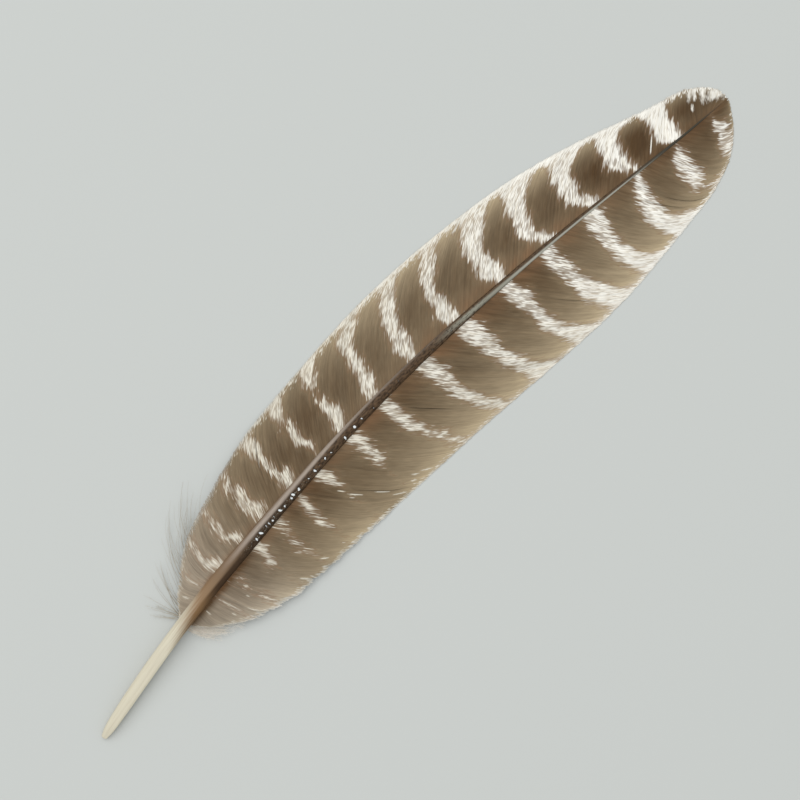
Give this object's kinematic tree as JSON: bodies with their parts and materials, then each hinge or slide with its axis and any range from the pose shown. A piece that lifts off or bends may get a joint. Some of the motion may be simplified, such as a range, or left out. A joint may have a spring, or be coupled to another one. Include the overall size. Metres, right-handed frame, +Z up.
{
  "type": "turkey wing feather",
  "caption": "Long barred wing feather with a bent tapering shaft, a narrow and a wide vane and a little down at the quill, lying on its hollow underside.",
  "frame": {"origin": "on the surface that the feather lies on, under the middle of its length and width", "axes": "+X from the quill's end to the tip, +Y towards the narrow leading vane, +Z up out of the glossy upper side"},
  "size_m": [0.2866, 0.0604, 0.008],
  "materials": {
    "shaft": "satin",
    "leading_vane": "satin",
    "trailing_vane": "satin",
    "down": "matte"
  },
  "bodies": {
    "root": {"quill_shaft": "shaft", "leading_vane": "leading_vane", "trailing_vane": "trailing_vane", "leading_down": "down", "trailing_down": "down"}
  },
  "joints": []
}
